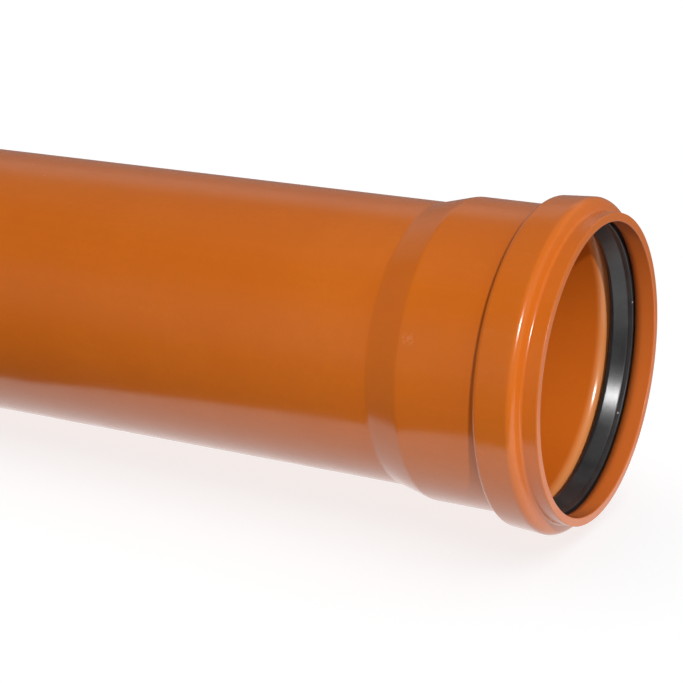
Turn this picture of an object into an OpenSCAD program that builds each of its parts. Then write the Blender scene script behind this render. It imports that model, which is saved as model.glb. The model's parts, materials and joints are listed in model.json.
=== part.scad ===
// Socketed plastic sewer pipe, DN 160, with its rubber seal ring.
//
// The pipe lies along X with its axis level. The socket mouth faces +X, the
// plain spigot end faces -X, X = 0 is half way along, and Z = 0 is the lowest
// point of the bead. Every section is given as [radius, depth behind the mouth].

/* [Barrel] */
// Outside diameter of the barrel
pipe_od = 160; // [125:1:315]
// Wall thickness of the barrel
wall = 4.7; // [3.6:0.1:9]
// Laying length, from the spigot end to the stop inside the socket
laying_length = 500; // [300:50:6000]
// Length of the 15 degree lead-in chamfer on the spigot end
chamfer_length = 9; // [4:0.5:11]

/* [Socket] */
// Gap all round between the spigot and the socket wall
socket_gap = 0.5; // [0.2:0.1:1.2]
// Wall thickness of the socket
socket_wall = 4.7; // [4:0.1:9]
// Depth from the mouth at which a full spigot comes to its stop
insertion_depth = 85; // [70:1:160]
// Length of the cone that joins the socket to the barrel
cone_length = 20; // [16:1:40]
// Length of the straight lip in front of the bead
lip_length = 9; // [8:0.5:10]

/* [Bead] */
// Height of the bead above the socket wall at its front shoulder
bead_height = 7.4; // [6:0.1:10]
// Amount by which the bead narrows from its front to its back shoulder
bead_fall = 1.5; // [0:0.1:2]
// Depth behind the mouth of the bead's front shoulder
bead_front = 11.5; // [11.5:0.5:13.5]
// Depth behind the mouth of the bead's back shoulder
bead_back = 34.2; // [33:0.1:40]

/* [Seal ring] */
// Radial squeeze of the sealing crest on a spigot
seal_squeeze = 3.5; // [1:0.1:5]
// Depth behind the mouth at which the sealing crest begins
crest_depth = 23.4; // [21:0.2:24]

/* [Hidden] */

barrel_r = pipe_od / 2;
bore_r = barrel_r - wall;
socket_r = barrel_r + socket_gap;       // inside of the socket
outer_r = socket_r + socket_wall;       // outside of the socket
bead_r = outer_r + bead_height;         // widest radius of the whole pipe
bead_back_r = bead_r - bead_fall;
groove_r = bead_r - socket_wall;        // floor of the seal groove, front
groove_back_r = bead_back_r - socket_wall;

groove_front = bead_front + 2.5;        // depth of the groove's front corner
groove_back = bead_back - 5.7;          // depth of the groove's back corner
land_start = bead_back - 2.5;           // the socket's inner land begins here
land_end = insertion_depth - 2.4;       // and ends where the inner cone begins
cone_start = insertion_depth - 4;       // outer cone
total_length = laying_length + insertion_depth;

chamfer_drop = chamfer_length * tan(15);
mouth_edge = 1;                         // rounding of the two mouth edges

function unit(v) = v / norm(v);
function at(p) = [p[0], p[1]];

// An arc of radius p[2] in place of the corner p, between its neighbours
function corner(a, p, c, n = 4) =
    p[2] <= 0 ? [at(p)] :
    let(u = unit(at(a) - at(p)), w = unit(at(c) - at(p)),
        half = acos(u * w) / 2,
        centre = at(p) + unit(u + w) * p[2] / sin(half),
        p0 = at(p) + u * p[2] / tan(half),
        p1 = at(p) + w * p[2] / tan(half),
        a0 = atan2(p0[1] - centre[1], p0[0] - centre[0]),
        a1 = atan2(p1[1] - centre[1], p1[0] - centre[0]),
        turn = (a1 - a0 + 540) % 360 - 180)
    [for (i = [0:n]) centre + p[2] * [cos(a0 + turn * i / n), sin(a0 + turn * i / n)]];

// A closed section whose corners [radius, depth, rounding] are all rounded
function rounded(pts) =
    let(m = len(pts))
    [for (i = [0:m - 1]) each corner(pts[(i + m - 1) % m], pts[i], pts[(i + 1) % m])];

// Depth at radius r on the straight line between two corners
function along(a, b, r) = a[1] + (b[1] - a[1]) * (r - a[0]) / (b[0] - a[0]);

// Corners of the seal groove, shared by the pipe and the ring
lip_corner = [socket_r, lip_length + 3.2, 5];
groove_a = [groove_r, groove_front, 2];
groove_b = [groove_back_r, groove_back, 2];
land_corner = [socket_r, land_start, 6];

pipe_section = rounded([
    [outer_r, 0, mouth_edge],
    [outer_r, lip_length, 2],
    [bead_r, bead_front, 4.5],
    [bead_back_r, bead_back, 3.4],
    [outer_r, bead_back + 0.4, 1.2],
    [outer_r, cone_start, 10],
    [barrel_r, cone_start + cone_length, 10],
    [barrel_r, total_length - chamfer_length, 0],
    [barrel_r - chamfer_drop, total_length, 0],
    [bore_r, total_length, 0],
    [bore_r, land_end + cone_length, 10],
    [socket_r, land_end, 10],
    land_corner,
    groove_b,
    groove_a,
    lip_corner,
    [socket_r, 0, mouth_edge]
]);

// The ring fills the groove and leans inward to a sealing crest
crest_r = barrel_r - seal_squeeze;
nose_r = socket_r - 0.3;
toe_r = socket_r + 2;                   // where the ring leaves the groove's front slope
heel_r = groove_back_r - 1.8;           // where the ring leaves the groove's back slope
ring_section = rounded([
    [toe_r, along(lip_corner, groove_a, toe_r), 0],
    [nose_r, lip_length + 3.8, 0.5],
    [nose_r - 0.3, lip_length + 7, 0.8],
    [crest_r, crest_depth, 1],
    [crest_r + 0.4, crest_depth + 2.2, 0.9],
    [crest_r + 4.4, crest_depth + 2.6, 1],
    [heel_r, along(groove_b, land_corner, heel_r), 0],
    groove_b,
    groove_a
]);

// Height of the axis: the widest radius once the bead's shoulder is rounded
axis_z = max([for (p = pipe_section) p[0]]);

// Turns a section about the pipe's axis and lays it along X
module turned(section)
    translate([total_length / 2, 0, axis_z])
        rotate([0, 90, 0])
            rotate_extrude($fn = 180)
                polygon([for (p = section) [p[0], -p[1]]]);

module pipe()
    color([0.76, 0.38, 0.12])
        turned(pipe_section);

module seal_ring()
    color([0.13, 0.13, 0.13])
        turned(ring_section);

pipe();
seal_ring();
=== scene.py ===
import json
import math

import bpy
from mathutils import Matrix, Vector


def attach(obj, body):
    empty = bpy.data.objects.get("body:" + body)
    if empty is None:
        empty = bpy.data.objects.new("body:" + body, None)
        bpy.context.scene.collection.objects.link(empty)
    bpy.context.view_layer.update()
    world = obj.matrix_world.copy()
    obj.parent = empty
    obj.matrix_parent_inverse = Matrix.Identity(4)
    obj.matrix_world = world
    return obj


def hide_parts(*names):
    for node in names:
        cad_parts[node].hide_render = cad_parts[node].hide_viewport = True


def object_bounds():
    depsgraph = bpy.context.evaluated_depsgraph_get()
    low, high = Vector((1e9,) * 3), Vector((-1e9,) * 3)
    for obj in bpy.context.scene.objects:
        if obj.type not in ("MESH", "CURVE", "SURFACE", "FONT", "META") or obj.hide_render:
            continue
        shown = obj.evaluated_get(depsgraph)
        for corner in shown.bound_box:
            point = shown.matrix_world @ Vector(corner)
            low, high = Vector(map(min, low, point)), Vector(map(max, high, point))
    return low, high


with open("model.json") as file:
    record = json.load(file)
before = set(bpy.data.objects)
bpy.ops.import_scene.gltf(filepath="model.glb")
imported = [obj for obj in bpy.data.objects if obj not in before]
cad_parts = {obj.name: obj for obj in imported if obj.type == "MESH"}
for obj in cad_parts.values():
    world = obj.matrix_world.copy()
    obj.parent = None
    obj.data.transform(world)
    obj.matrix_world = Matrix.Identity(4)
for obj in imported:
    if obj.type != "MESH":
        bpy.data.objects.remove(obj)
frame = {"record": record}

cad_low, cad_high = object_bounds()
MOUNTS = {m["name"]: m for m in frame["record"]["mounts"]}
MOUTH_X = cad_high.x                              # plane of the socket's mouth
AXIS_Z = MOUNTS["socket_mouth"]["pos_m"][2]       # height of the pipe's axis
TOTAL = (cad_high.x - cad_low.x) * 1000.0 - 0.001   # mm
SEGMENTS = 320

# ---------------------------------------------------------------- sections, in mm: [radius, depth behind the mouth, corner radius]

BORE, BARREL, SOCKET, OUTER = 75.3, 80.0, 80.5, 85.2
BEAD, BEAD_BACK = 92.6, 91.1
TOP = min(cad_high.z - AXIS_Z, AXIS_Z - cad_low.z, cad_high.y, -cad_low.y) * 1000.0 - 0.001   # the bead's rounded top is no higher than this


def section(points, arc_step=7.0, line_step=40.0):
    """A closed outline with rounded corners: a list of (radius, depth, normal's radius part, normal's depth part).
    Its long straight parts are divided, and every point has the exact normal of the outline there."""
    n = len(points)
    ends = []
    for i, (r, s, c) in enumerate(points):
        (ra, sa, _), (rb, sb, _) = points[i - 1], points[(i + 1) % n]
        u = Vector((ra - r, sa - s)).normalized()
        v = Vector((rb - r, sb - s)).normalized()
        half = u.angle(v) / 2
        reach = c / math.tan(half)
        centre = Vector((r, s)) + (u + v).normalized() * (c / math.sin(half))
        ends.append((Vector((r, s)) + u * reach, Vector((r, s)) + v * reach, centre, c, math.pi - 2 * half))
    area = sum(points[i - 1][0] * points[i][1] - points[i][0] * points[i - 1][1] for i in range(n))
    side = 1.0 if area > 0 else -1.0
    out = []
    for i, (a, b, centre, c, turn) in enumerate(ends):
        steps = max(2, math.ceil(math.degrees(turn) / arc_step))
        va, vb = a - centre, b - centre
        full = va.angle_signed(vb) if turn > 1e-6 else 0.0
        # the normal points away from the centre on a corner that stands out, and towards it on a hollow one
        along = Vector((a - ends[i - 1][1])).normalized()
        flat = Vector((along.y, -along.x)) * side
        sign = 1.0 if flat.dot(va) > 0 else -1.0
        for k in range(steps + 1):
            t = full * k / steps
            d = Vector((va.x * math.cos(-t) - va.y * math.sin(-t), va.x * math.sin(-t) + va.y * math.cos(-t)))
            p = centre + d
            m = d.normalized() * sign
            out.append((p.x, p.y, m.x, m.y))
        nxt = ends[(i + 1) % n][0]
        gap = (nxt - b).length
        parts = max(1, math.ceil(gap / line_step))
        along = (nxt - b).normalized() if gap > 1e-9 else along
        flat = Vector((along.y, -along.x)) * side
        for k in range(1, parts):
            p = b.lerp(nxt, k / parts)
            out.append((p.x, p.y, flat.x, flat.y))
    clean = []
    for p in out:
        if not clean or math.hypot(p[0] - clean[-1][0], p[1] - clean[-1][1]) > 1e-4:
            clean.append(p)
    return clean


PIPE = section([
    [OUTER, 0, 0.45], [OUTER, 9, 2.0], [BEAD, 11.5, 4.5], [BEAD_BACK, 34.2, 3.4], [OUTER, 34.6, 1.2],
    [OUTER, 81, 10], [BARREL, 101, 10],
    [BARREL, TOTAL - 9, 0.8], [BARREL - 9 * math.tan(math.radians(15)), TOTAL, 0.35], [BORE, TOTAL, 0.35],
    [BORE, 102.6, 10], [SOCKET, 82.6, 10],
    [SOCKET, 31.7, 8.5], [84.0, 28.6, 0.6], [86.4, 28.3, 1.2], [87.9, 14.6, 1.5], [SOCKET, 12.4, 6.5], [SOCKET, 0, 0.5]])
PIPE = [(min(r, TOP), s, a, b) for r, s, a, b in PIPE]

SEAL = section([
    [83.6, 13.45, 0.25], [80.35, 12.95, 0.6], [80.02, 15.2, 0.4], [80.06, 15.5, 0.25], [79.97, 16.0, 0.22],
    [76.55, 23.4, 0.7], [76.93, 25.55, 0.8], [80.9, 25.9, 0.9], [83.9, 28.35, 0.15],
    [86.3, 28.2, 1.1], [87.8, 14.75, 1.4]], arc_step=10.0)


def lathe(name, outline):
    """A closed ring-shaped mesh, turned from the outline about the pipe's axis, with the outline's own normals."""
    verts, faces, normals = [], [], []
    m = len(outline)
    for j in range(SEGMENTS):
        a = 2 * math.pi * j / SEGMENTS
        sa, ca = math.sin(a), math.cos(a)
        for r, s, nr, ns in outline:
            verts.append((MOUTH_X - s / 1000.0, -r / 1000.0 * sa, AXIS_Z + r / 1000.0 * ca))
            normals.append((-ns, -nr * sa, nr * ca))
    for j in range(SEGMENTS):
        k = (j + 1) % SEGMENTS
        for i in range(m):
            h = (i + 1) % m
            faces.append((j * m + i, k * m + i, k * m + h, j * m + h))
    mesh = bpy.data.meshes.new(name)
    mesh.from_pydata(verts, [], faces)
    # outward faces
    f = mesh.polygons[0]
    want = Vector(normals[f.vertices[0]])
    if f.normal.dot(want) < 0:
        mesh.flip_normals()
    # a map made for the shape: the way round across it, the outline down it in two strips side by side
    run = [0.0]
    for i in range(m):
        a, b = outline[i], outline[(i + 1) % m]
        run.append(run[-1] + math.hypot(a[0] - b[0], a[1] - b[1]))
    total = run[-1]
    split = min(range(m), key=lambda i: abs(run[i] - total / 2))
    layer = mesh.uv_layers.new(name="OFBake")
    for poly in mesh.polygons:
        cols = sorted({v // m for v in poly.vertices})
        wrap = cols == [0, SEGMENTS - 1]
        rows = sorted({v % m for v in poly.vertices})
        closing = rows == [0, m - 1] and m > 2
        first = (m - 1) if closing else rows[0]
        strip = 0 if first < split else 1
        begin, end = (0.0, run[split]) if strip == 0 else (run[split], total)
        for li in poly.loop_indices:
            v = mesh.loops[li].vertex_index
            col, row = v // m, v % m
            if wrap and col == 0:
                col = SEGMENTS
            along = run[row] if not (closing and row == 0) else total
            u = 0.005 + 0.49 * col / SEGMENTS + 0.5 * strip
            w = 0.005 + 0.99 * (along - begin) / (end - begin)
            layer.data[li].uv = (u, w)
    mesh.validate()
    mesh.shade_smooth()
    mesh.normals_split_custom_set_from_vertices(normals)
    o = bpy.data.objects.new(name, mesh)
    bpy.context.scene.collection.objects.link(o)
    return o


# ---------------------------------------------------------------- node helpers

def nodes_of(mat):
    mat.use_nodes = True
    t = mat.node_tree
    t.nodes.clear()
    return t


class Net:
    def __init__(self, mat):
        self.t = nodes_of(mat)

    def node(self, kind, **sets):
        n = self.t.nodes.new(kind)
        for k, v in sets.items():
            if k.startswith("_"):
                setattr(n, k[1:], v)
        for k, v in sets.items():
            if not k.startswith("_"):
                sock = n.inputs[int(k[1:])] if k[0] == "i" and k[1:].isdigit() else n.inputs[k]
                if isinstance(v, bpy.types.NodeSocket):
                    self.t.links.new(v, sock)
                else:
                    sock.default_value = v
        return n

    def math(self, op, a, b=0.0, c=None, clamp=False):
        n = self.node("ShaderNodeMath", _operation=op, _use_clamp=clamp)
        for i, v in enumerate((a, b) if c is None else (a, b, c)):
            if isinstance(v, bpy.types.NodeSocket):
                self.t.links.new(v, n.inputs[i])
            else:
                n.inputs[i].default_value = v
        return n.outputs[0]

    def ramp(self, value, low, high, out_low=0.0, out_high=1.0, smooth=True):
        n = self.node("ShaderNodeMapRange", _interpolation_type="SMOOTHSTEP" if smooth else "LINEAR")
        self.t.links.new(value, n.inputs[0])
        for i, v in enumerate((low, high, out_low, out_high)):
            n.inputs[i + 1].default_value = v
        return n.outputs[0]

    def stretch(self, vector, scale):
        n = self.node("ShaderNodeMapping")
        self.t.links.new(vector, n.inputs["Vector"])
        n.inputs["Scale"].default_value = scale
        return n.outputs[0]

    def noise(self, vector, scale, detail=2.0, rough=0.5, kind="FBM"):
        n = self.node("ShaderNodeTexNoise", _noise_dimensions="3D", _noise_type=kind)
        self.t.links.new(vector, n.inputs["Vector"])
        n.inputs["Scale"].default_value = scale
        n.inputs["Detail"].default_value = detail
        n.inputs["Roughness"].default_value = rough
        return n.outputs[0]

    def mix(self, factor, a, b, blend="MIX"):
        n = self.node("ShaderNodeMix", _data_type="RGBA", _blend_type=blend)
        for v, i in ((factor, 0), (a, 6), (b, 7)):
            if isinstance(v, bpy.types.NodeSocket):
                self.t.links.new(v, n.inputs[i])
            else:
                n.inputs[i].default_value = v
        return n.outputs[2]

    def near(self, point, vector, inner, outer):
        """1 within inner of the point, falling to 0 at outer, in metres."""
        n = self.node("ShaderNodeVectorMath", _operation="DISTANCE")
        self.t.links.new(vector, n.inputs[0])
        n.inputs[1].default_value = point
        return self.ramp(n.outputs["Value"], inner, outer, 1.0, 0.0)


def on_surface(depth, radius, psi):
    """The point at that depth behind the mouth and that angle from straight up, towards the near side, in metres."""
    a = math.radians(psi)
    return (MOUTH_X - depth / 1000.0, -radius / 1000.0 * math.sin(a), AXIS_Z + radius / 1000.0 * math.cos(a))


# ---------------------------------------------------------------- materials

def pvc():
    mat = bpy.data.materials.new("orange_brown_pvc")
    n = Net(mat)
    where = n.node("ShaderNodeTexCoord").outputs["Object"]
    part = n.node("ShaderNodeSeparateXYZ")
    n.t.links.new(where, part.inputs[0])
    x, y, z = part.outputs
    # distance from the axis, for what differs between the outside, the inside and the cut ends
    up = n.math("SUBTRACT", z, AXIS_Z)
    radius = n.math("SQRT", n.math("ADD", n.math("MULTIPLY", y, y), n.math("MULTIPLY", up, up)))

    broad = n.noise(where, 11.0, 2.0, 0.5)
    cloud = n.noise(where, 48.0, 3.0, 0.55)
    grain = n.noise(where, 620.0, 3.0, 0.6)
    mottle = n.noise(where, 210.0, 3.0, 0.6)
    streaks = n.noise(n.stretch(where, (0.012, 1.0, 1.0)), 320.0, 3.0, 0.6)
    fine = n.noise(n.stretch(where, (0.02, 1.0, 1.0)), 1400.0, 2.0, 0.55)

    # colour: a shade deeper or paler in clouds and in lines left by the die
    base = n.mix(n.ramp(broad, 0.34, 0.66), (0.478, 0.106, 0.0080, 1), (0.500, 0.117, 0.0100, 1))
    base = n.mix(n.math("MULTIPLY", n.ramp(cloud, 0.35, 0.70), 0.35), base, (0.455, 0.098, 0.0075, 1))
    base = n.mix(n.math("MULTIPLY", n.ramp(streaks, 0.38, 0.80), 0.14), base, (0.530, 0.131, 0.0130, 1))
    base = n.mix(n.math("MULTIPLY", n.ramp(grain, 0.50, 0.74), 0.14), base, (0.36, 0.075, 0.010, 1))

    base = n.mix(n.math("MULTIPLY", n.ramp(mottle, 0.36, 0.68), 0.30), base, (0.440, 0.106, 0.0080, 1))

    # painted light: the bore beyond the groove is painted a shade redder and brighter than the outside, standing in for
    # light that falls short inside it
    middle = n.ramp(x, MOUTH_X - 0.1020, MOUTH_X - 0.0820, 0.07765, 0.08285, smooth=False)
    painted_bore_light = n.ramp(n.math("SUBTRACT", radius, middle), -0.0004, 0.0004, 1.0, 0.0)
    painted_bore_light = n.math("MULTIPLY", painted_bore_light, n.ramp(x, MOUTH_X - 0.0270, MOUTH_X - 0.0300))
    base = n.mix(n.math("MULTIPLY", painted_bore_light, 0.18), base, (0.640, 0.112, 0.0080, 1))

    # the wall of the mouth in front of the seal is a shade greyer and paler
    wall = n.math("MULTIPLY", n.ramp(x, MOUTH_X - 0.0124, MOUTH_X - 0.0110), n.ramp(radius, 0.0811, 0.0815, 1.0, 0.0))
    base = n.mix(n.math("MULTIPLY", wall, 0.40), base, (0.510, 0.120, 0.034, 1))

    # painted highlight: the corner behind the groove is painted paler, standing in for the sheen and light it catches
    painted_corner_sheen = n.math("MULTIPLY", n.ramp(x, MOUTH_X - 0.0364, MOUTH_X - 0.0308), n.ramp(x, MOUTH_X - 0.0280, MOUTH_X - 0.0270, 1.0, 0.0))
    painted_corner_sheen = n.math("MULTIPLY", painted_corner_sheen, n.ramp(radius, 0.0845, 0.0850, 1.0, 0.0))
    base = n.mix(n.math("MULTIPLY", painted_corner_sheen, 0.38), base, (0.85, 0.42, 0.16, 1))

    # the sawn and chamfered spigot end is paler and duller, with turning marks round it
    cut_from = MOUTH_X - (TOTAL - 9.6) / 1000.0
    cut = n.math("MULTIPLY", n.ramp(x, cut_from - 0.0004, cut_from + 0.0006, 1.0, 0.0), n.ramp(radius, 0.0756, 0.0759))
    rings = n.node("ShaderNodeTexWave", _wave_type="BANDS", _bands_direction="X")
    turned = n.node("ShaderNodeCombineXYZ")
    n.t.links.new(n.math("ADD", radius, n.math("MULTIPLY", x, 0.6)), turned.inputs[0])
    n.t.links.new(turned.outputs[0], rings.inputs["Vector"])
    rings.inputs["Scale"].default_value = 520.0
    rings.inputs["Distortion"].default_value = 1.2
    rings.inputs["Detail"].default_value = 2.0
    base = n.mix(n.math("MULTIPLY", cut, 0.55), base, (0.60, 0.20, 0.055, 1))

    # handling: faint dull rubs on the bead and near the spigot end, and one small smudge on the socket by the taper
    rub_noise = n.noise(n.stretch(where, (1.0, 2.2, 2.2)), 95.0, 4.0, 0.62)
    bead = n.math("MULTIPLY", n.ramp(radius, 0.0900, 0.0918), n.ramp(rub_noise, 0.56, 0.70))
    spigot = n.math("MULTIPLY", n.ramp(x, -0.160, -0.285), n.ramp(rub_noise, 0.55, 0.72))
    spigot = n.math("MULTIPLY", spigot, n.ramp(radius, 0.0785, 0.0795))
    scratch_noise = n.noise(n.stretch(where, (0.05, 1.0, 1.0)), 760.0, 2.0, 0.5)
    scratch = n.math("MULTIPLY", n.ramp(scratch_noise, 0.70, 0.735), n.ramp(rub_noise, 0.50, 0.62))
    scratch = n.math("MULTIPLY", scratch, n.ramp(x, 0.10, -0.22))
    rub = n.math("MAXIMUM", n.math("MAXIMUM", n.math("MULTIPLY", bead, 0.10), n.math("MULTIPLY", spigot, 0.30)), n.math("MULTIPLY", scratch, 0.45))
    scuff = n.math("MULTIPLY", n.near(on_surface(75.7, 85.2, 71.0), where, 0.0005, 0.0055), n.ramp(n.noise(where, 420.0, 3.0, 0.6), 0.40, 0.62))
    rub = n.math("MAXIMUM", rub, n.math("MULTIPLY", scuff, 0.5))
    base = n.mix(n.math("MULTIPLY", rub, 0.16), base, (0.74, 0.42, 0.26, 1))

    # painted shade: the inside of the lip is painted darker next to the seal, where shade falls
    painted_seal_shade = n.math("MULTIPLY", n.ramp(x, MOUTH_X - 0.0125, MOUTH_X - 0.0050, 1.0, 0.0), n.ramp(radius, 0.0835, 0.0845, 1.0, 0.0))
    painted_seal_shade = n.math("MULTIPLY", painted_seal_shade, n.ramp(x, MOUTH_X - 0.0200, MOUTH_X - 0.0190))
    base = n.mix(n.math("MULTIPLY", painted_seal_shade, 0.42), base, (0.16, 0.045, 0.010, 1))

    # a few grains of dust
    dust = n.node("ShaderNodeTexVoronoi", _feature="F1")
    n.t.links.new(where, dust.inputs["Vector"])
    dust.inputs["Scale"].default_value = 42.0
    dust.inputs["Randomness"].default_value = 1.0
    speck = n.ramp(dust.outputs["Distance"], 0.010, 0.017, 1.0, 0.0)
    speck = n.math("MULTIPLY", speck, n.ramp(n.noise(where, 19.0, 1.0, 0.5), 0.55, 0.60))
    for p in (on_surface(3.6, 85.2, -10.0),):
        speck = n.math("MAXIMUM", speck, n.near(p, where, 0.0002, 0.0005))
    base = n.mix(n.math("MULTIPLY", speck, 0.55), base, (0.78, 0.66, 0.55, 1))

    # gloss
    rough = n.math("ADD", 0.185, n.math("MULTIPLY", n.ramp(cloud, 0.3, 0.75), 0.05))
    rough = n.math("ADD", rough, n.math("MULTIPLY", n.ramp(fine, 0.40, 0.85), 0.02))
    inside = n.ramp(radius, 0.0812, 0.0818, 1.0, 0.0)
    inside = n.math("MULTIPLY", inside, n.ramp(x, 0.2080, 0.2130, 0.0, 1.0))
    rough = n.math("ADD", rough, n.math("MULTIPLY", inside, 0.02))
    # the mouth's own edge is duller than the faces beside it
    rough = n.math("ADD", rough, n.math("MULTIPLY", n.ramp(x, MOUTH_X - 0.0014, MOUTH_X - 0.0004), 0.12))
    rough = n.math("ADD", rough, n.math("MULTIPLY", rub, 0.26))
    rough = n.math("ADD", rough, n.math("MULTIPLY", cut, 0.30))
    rough = n.math("ADD", rough, n.math("MULTIPLY", speck, 0.4), clamp=True)

    # relief: lines along the barrel from the die, a slow waviness, and the turning marks
    height = n.math("MULTIPLY", streaks, 0.15)
    height = n.math("ADD", height, n.math("MULTIPLY", fine, 0.04))
    height = n.math("ADD", height, n.math("MULTIPLY", cloud, 0.55))
    height = n.math("SUBTRACT", height, n.math("MULTIPLY", scratch, 0.30))
    height = n.math("ADD", height, n.math("MULTIPLY", n.math("MULTIPLY", rings.outputs["Fac"], cut), 0.9))
    bump = n.node("ShaderNodeBump", Strength=0.22, Distance=0.00035)
    n.t.links.new(height, bump.inputs["Height"])

    s = n.node("ShaderNodeBsdfPrincipled", IOR=1.53)
    n.t.links.new(base, s.inputs["Base Color"])
    n.t.links.new(rough, s.inputs["Roughness"])
    n.t.links.new(bump.outputs[0], s.inputs["Normal"])
    out = n.node("ShaderNodeOutputMaterial")
    n.t.links.new(s.outputs[0], out.inputs[0])
    return mat


def rubber():
    mat = bpy.data.materials.new("black_rubber")
    n = Net(mat)
    where = n.node("ShaderNodeTexCoord").outputs["Object"]
    cloud = n.noise(where, 60.0, 3.0, 0.55)
    grain = n.noise(where, 1500.0, 2.0, 0.6)
    bloom = n.noise(where, 140.0, 4.0, 0.6)
    base = n.mix(n.ramp(cloud, 0.35, 0.68), (0.0155, 0.0155, 0.0165, 1), (0.024, 0.024, 0.025, 1))
    base = n.mix(n.math("MULTIPLY", n.ramp(bloom, 0.55, 0.75), 0.35), base, (0.050, 0.050, 0.049, 1))
    speck = n.math("MAXIMUM", n.near(on_surface(14.5, 80.1, -124.8), where, 0.0004, 0.0008), n.near(on_surface(13.0, 80.35, -77.7), where, 0.0004, 0.0008))
    dust = n.node("ShaderNodeTexVoronoi", _feature="F1")
    n.t.links.new(where, dust.inputs["Vector"])
    dust.inputs["Scale"].default_value = 90.0
    speck = n.math("MAXIMUM", speck, n.math("MULTIPLY", n.ramp(dust.outputs["Distance"], 0.014, 0.026, 1.0, 0.0), n.ramp(bloom, 0.64, 0.68)))
    base = n.mix(n.math("MULTIPLY", speck, 0.6), base, (0.45, 0.42, 0.40, 1))
    rough = n.math("ADD", 0.277, n.math("MULTIPLY", n.ramp(cloud, 0.3, 0.7), 0.016))
    # the rim in front of the sealing lip is duller
    rim = n.node("ShaderNodeSeparateXYZ")
    n.t.links.new(where, rim.inputs[0])
    rough = n.math("ADD", rough, n.math("MULTIPLY", n.ramp(rim.outputs[0], MOUTH_X - 0.0166, MOUTH_X - 0.0162), 0.14))
    rough = n.math("ADD", rough, n.math("MULTIPLY", n.ramp(bloom, 0.5, 0.75), 0.030), clamp=True)
    height = n.math("ADD", n.math("MULTIPLY", grain, 0.35), n.math("MULTIPLY", cloud, 0.65))
    bump = n.node("ShaderNodeBump", Strength=0.25, Distance=0.0003)
    n.t.links.new(height, bump.inputs["Height"])
    s = n.node("ShaderNodeBsdfPrincipled", IOR=1.52)
    n.t.links.new(base, s.inputs["Base Color"])
    n.t.links.new(rough, s.inputs["Roughness"])
    n.t.links.new(bump.outputs[0], s.inputs["Normal"])
    out = n.node("ShaderNodeOutputMaterial")
    n.t.links.new(s.outputs[0], out.inputs[0])
    return mat


def plain(name, colour, strength=0.0, diffuse=0.9):
    mat = bpy.data.materials.new(name)
    n = Net(mat)
    out = n.node("ShaderNodeOutputMaterial")
    if diffuse:
        d = n.node("ShaderNodeBsdfDiffuse", Color=(*[c * diffuse for c in colour], 1))
    if strength:
        e = n.node("ShaderNodeEmission", Color=(*colour, 1), Strength=strength)
    if diffuse and strength:
        a = n.node("ShaderNodeAddShader")
        n.t.links.new(d.outputs[0], a.inputs[0])
        n.t.links.new(e.outputs[0], a.inputs[1])
        n.t.links.new(a.outputs[0], out.inputs[0])
    else:
        n.t.links.new((e if strength else d).outputs[0], out.inputs[0])
    return mat


# ---------------------------------------------------------------- the two pieces

pipe = lathe("pipe_shell", PIPE)
pipe.data.materials.append(pvc())
seal = lathe("seal_lip_ring", SEAL)
seal.data.materials.append(rubber())
for piece, node, slot in ((pipe, "pipe", "pipe_plastic"), (seal, "seal_ring", "seal_rubber")):
    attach(piece, "root")
    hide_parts(node)


# ---------------------------------------------------------------- floor and reflectors

def sheet(name, height, *corners):
    """A flat sheet under the pipe, in the plane that touches the bead and the spigot end."""
    mesh = bpy.data.meshes.new(name)
    mesh.from_pydata([(x, y, height + SLOPE * (TOUCH_X - x)) for x, y in corners], [], [range(len(corners))])
    o = bpy.data.objects.new(name, mesh)
    bpy.context.scene.collection.objects.link(o)
    return o


low_end = min((p for p in PIPE if p[1] > TOTAL - 12), key=lambda p: (TOP - p[0]) / (p[1] - 15.0))
TOUCH_X = MOUTH_X - 0.015
SLOPE = (TOP - low_end[0]) / (low_end[1] - 15.0)

floor = sheet("floor", -0.0002, (-40, -40), (40, -40), (40, 40), (-40, 40))
floor.data.materials.append(plain("floor_white", (0.995, 0.998, 1.0), 0.80, 0.36))
floor.visible_glossy = False
floor.visible_diffuse = False
floor.visible_shadow = False

# the lit part of the table, which ends under the pipe's near side: one sheet for its reflection, one for the light it sends up
EDGE = ((-1.3, -0.070), (-0.072, -0.081), (-0.023, -0.092), (0.109, -0.114), (0.155, -0.118), (0.182, -0.143), (0.219, -0.156), (0.75, -0.290), (0.75, 0.15), (-1.3, 0.15))
FAR = ((0.15, 0.15), (0.75, 0.15), (0.75, 0.42), (0.30, 0.42))
for name, corners, height, strength, kind in (
        ("table_reflection", EDGE, -0.0004, 1.20, "visible_diffuse"),
        ("table_reflection_far", FAR, -0.0004, 0.66, "visible_diffuse"),
        ("table_bounce", EDGE, -0.0006, 0.475, "visible_glossy")):
    card = sheet(name, height, *corners)
    card.data.materials.append(plain(name + "_white", (0.985, 0.99, 1.0), strength, 0.0))
    card.visible_camera = False
    card.visible_shadow = False
    setattr(card, kind, False)


# ---------------------------------------------------------------- world

world = bpy.data.worlds.new("studio")
bpy.context.scene.world = world
world.use_nodes = True
wt = world.node_tree
wt.nodes.clear()
W = Net.__new__(Net)
W.t = wt
path = W.node("ShaderNodeLightPath")
way = W.node("ShaderNodeTexCoord").outputs["Generated"]
parts = W.node("ShaderNodeSeparateXYZ")
wt.links.new(way, parts.inputs[0])
wx, wy, wz = parts.outputs
# behind the pipe a pale wall, brightest 26 to 40 degrees up; above it a dim ceiling, and the near side of the room dark
wall = W.math("ADD", 0.235, W.math("MULTIPLY", W.math("MULTIPLY", W.ramp(wz, 0.38, 0.47), W.ramp(wz, 0.60, 0.70, 1.0, 0.0)), 0.205))
wall = W.math("MULTIPLY", W.math("SUBTRACT", wall, W.math("MULTIPLY", W.ramp(wz, 0.62, 0.72), 0.085)), W.ramp(wy, -0.03, 0.12))
room = W.math("MAXIMUM", W.math("MAXIMUM", wall, W.math("MULTIPLY", W.ramp(wz, 0.78, 0.86), 0.16)), 0.02)
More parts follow.
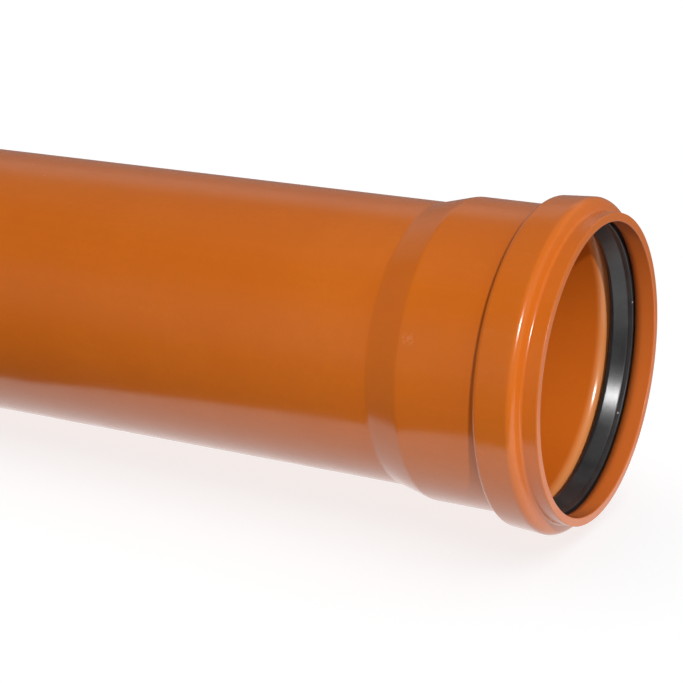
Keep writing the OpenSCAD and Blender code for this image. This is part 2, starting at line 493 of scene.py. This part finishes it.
# straight ahead of either end it is lighter and warm, as seen along the bore
ends = W.math("MAXIMUM", W.ramp(wx, -0.74, -0.86), W.ramp(wx, 0.93, 0.975))
room = W.math("MAXIMUM", room, W.math("MULTIPLY", ends, 0.55))
bg_cam = W.node("ShaderNodeBackground", Color=(1, 1, 1, 1), Strength=1.0)
bg_fill = W.node("ShaderNodeBackground", Color=(1, 1, 1, 1), Strength=0.05)
bg_gloss = W.node("ShaderNodeBackground", Color=W.mix(ends, (1, 1, 1, 1), (1.0, 0.39, 0.13, 1)))
wt.links.new(room, bg_gloss.inputs["Strength"])
m1 = W.node("ShaderNodeMixShader")
wt.links.new(path.outputs["Is Glossy Ray"], m1.inputs[0])
wt.links.new(bg_fill.outputs[0], m1.inputs[1])
wt.links.new(bg_gloss.outputs[0], m1.inputs[2])
m2 = W.node("ShaderNodeMixShader")
wt.links.new(path.outputs["Is Camera Ray"], m2.inputs[0])
wt.links.new(m1.outputs[0], m2.inputs[1])
wt.links.new(bg_cam.outputs[0], m2.inputs[2])
wo = W.node("ShaderNodeOutputWorld")
wt.links.new(m2.outputs[0], wo.inputs[0])


# ---------------------------------------------------------------- lights

def aim(o, target):
    o.rotation_mode = "QUATERNION"
    o.rotation_quaternion = (Vector(target) - o.location).to_track_quat("-Z", "Y")


def lamp(name, target, azimuth, elevation, distance, size, power, receivers=None, shape="DISK", size_y=None):
    data = bpy.data.lights.new(name, "AREA")
    data.shape, data.size, data.energy = shape, size, power
    if size_y:
        data.size_y = size_y
    o = bpy.data.objects.new(name, data)
    a, e = math.radians(azimuth), math.radians(elevation)
    o.location = Vector(target) + distance * Vector((math.cos(e) * math.cos(a), math.cos(e) * math.sin(a), math.sin(e)))
    bpy.context.scene.collection.objects.link(o)
    aim(o, target)
    if receivers:
        group = bpy.data.collections.new(name + "_lights")
        for r in receivers:
            group.objects.link(r)
        o.light_linking.receiver_collection = group
    return o


MOUTH = (MOUTH_X - 0.04, 0.0, AXIS_Z)
key = lamp("key", MOUTH, -50.0, 31.5, 2.3, 0.09, 38.3, receivers=[pipe, seal])


def wash(name, azimuth, elevation, strength, angle, receivers):
    """Broad soft light from one side, with no reflection of its own."""
    data = bpy.data.lights.new(name, "SUN")
    data.energy, data.angle = strength, math.radians(angle)
    o = bpy.data.objects.new(name, data)
    a, e = math.radians(azimuth), math.radians(elevation)
    o.rotation_mode = "QUATERNION"
    o.rotation_quaternion = Vector((math.cos(e) * math.cos(a), math.cos(e) * math.sin(a), math.sin(e))).to_track_quat("Z", "Y")
    o.visible_glossy = False
    bpy.context.scene.collection.objects.link(o)
    group = bpy.data.collections.new(name + "_lights")
    for r in receivers:
        group.objects.link(r)
    o.light_linking.receiver_collection = group
    return o


for i, (azimuth, elevation, strength) in enumerate((
        (-120, 12, 0.55), (-60, 12, 0.70), (0, 10, 1.02), (-40, 45, 0.36), (-10, 45, 0.48), (90, 50, 0.78), (-90, -30, 0.29),
        (115, 5, 1.0), (180, 10, 0.7))):
    wash("wash_%d" % (i + 1), azimuth, elevation, strength, 40, [pipe, seal])
wash("overhead_for_floor", 90, 84, 1.72, 85, [floor])

# ---------------------------------------------------------------- camera

cam_data = bpy.data.cameras.new("camera")
cam_data.sensor_width = 36.0
cam_data.lens = 36.0 * 2086.12 / 683.0
cam = bpy.data.objects.new("camera", cam_data)
bpy.context.scene.collection.objects.link(cam)
turn, down = math.radians(28.8454), math.radians(16.5540)
right = Vector((math.cos(turn), math.sin(turn), 0))
level = Vector((-math.sin(turn), math.cos(turn), 0))
ahead = math.cos(down) * level - math.sin(down) * Vector((0, 0, 1))
above = math.sin(down) * level + math.cos(down) * Vector((0, 0, 1))
cam.location = Vector((MOUTH_X, 0, AXIS_Z)) - right * 0.1394307 + above * 0.0155089 - ahead * 1.1213700
cam.rotation_mode = "QUATERNION"
cam.rotation_quaternion = ahead.to_track_quat("-Z", "Y")
cam_data.clip_start, cam_data.clip_end = 0.05, 200.0
bpy.context.scene.camera = cam

view = bpy.context.scene.view_settings
view.view_transform = "Standard"
view.look = "None"
view.exposure = 0.0
view.gamma = 1.0
